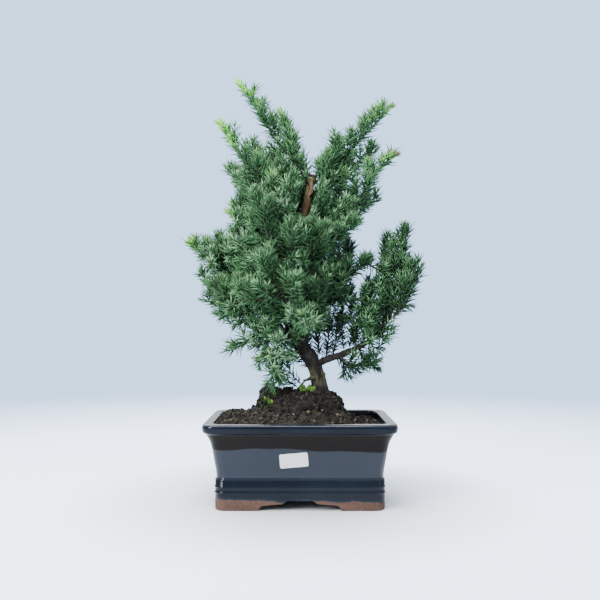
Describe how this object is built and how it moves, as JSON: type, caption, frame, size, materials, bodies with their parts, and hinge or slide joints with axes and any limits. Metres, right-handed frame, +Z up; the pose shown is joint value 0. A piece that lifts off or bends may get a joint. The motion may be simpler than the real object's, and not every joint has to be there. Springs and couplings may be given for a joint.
{
  "type": "potted juniper bonsai tree",
  "caption": "Starter juniper bonsai with an S-shaped trunk, sawn top and upswept needle sprays, potted in a dark glazed rectangular ceramic pot with corner feet.",
  "frame": {"origin": "on the surface that the pot stands on, under the middle of the pot", "axes": "+Z up, -Y towards the labelled front of the pot, +X to the right seen from the front, along the pot's length"},
  "size_m": [0.201, 0.1354, 0.3529],
  "materials": {
    "navy_glaze": "gloss navy glaze, bare reddish clay on the feet",
    "screen_plastic": "satin moulded plastic mesh",
    "potting_soil": "matt granular peat and bark crumbs",
    "label_paper": "smooth white blank sticker",
    "juniper_bark": "matt flaking bark",
    "juniper_needles": "satin waxy needles",
    "weed_leaf": "soft satin leaves",
    "moss": "matt velvety moss"
  },
  "bodies": {
    "root": {"pot": "navy_glaze", "drain_screen_left": "screen_plastic", "drain_screen_right": "screen_plastic", "soil_bed": "potting_soil", "root_ball": "potting_soil", "number_label": "label_paper", "trunk": "juniper_bark", "weed_clump": "weed_leaf", "moss_cushion": "moss", "limb_right_low": "juniper_bark", "limb_left_low": "juniper_bark", "limb_front_low": "juniper_bark", "limb_front_mid": "juniper_bark", "limb_right_mid": "juniper_bark", "limb_right_high": "juniper_bark", "limb_left_mid": "juniper_bark", "limb_back_low": "juniper_bark", "spray_leader_left": "juniper_needles", "spray_leader_left_side": "juniper_needles", "spray_leader_right": "juniper_needles", "spray_leader_right_inner": "juniper_needles", "spray_leader_right_back": "juniper_needles", "spray_crown_left_top": "juniper_needles", "spray_crown_centre": "juniper_needles", "spray_left_bright_tip": "juniper_needles", "spray_left_upper": "juniper_needles", "spray_left_shoulder": "juniper_needles", "spray_left_outer": "juniper_needles", "spray_front_upper": "juniper_needles", "spray_front_star_high": "juniper_needles", "spray_front_star_mid": "juniper_needles", "spray_front_star_low": "juniper_needles", "spray_front_fan": "juniper_needles", "spray_front_lower_left": "juniper_needles", "spray_left_low_front": "juniper_needles", "spray_left_skirt": "juniper_needles", "spray_droop_centre": "juniper_needles", "spray_droop_left": "juniper_needles", "spray_left_tip": "juniper_needles", "spray_left_upright": "juniper_needles", "spray_left_low_back": "juniper_needles", "spray_left_rear": "juniper_needles", "spray_right_high_tip": "juniper_needles", "spray_right_shoulder": "juniper_needles", "spray_right_front": "juniper_needles", "spray_right_crown": "juniper_needles", "spray_right_front_fan": "juniper_needles", "spray_right_mid_tip": "juniper_needles", "spray_right_mid_front": "juniper_needles", "spray_right_mid_back": "juniper_needles", "spray_right_backlit": "juniper_needles", "spray_right_limb_tip": "juniper_needles", "spray_right_limb_inner": "juniper_needles", "spray_right_limb_outer": "juniper_needles", "spray_right_limb_gap": "juniper_needles", "spray_right_droop": "juniper_needles", "spray_back_left": "juniper_needles", "spray_back_centre": "juniper_needles", "spray_back_right": "juniper_needles", "spray_back_crown": "juniper_needles"}
  },
  "joints": []
}
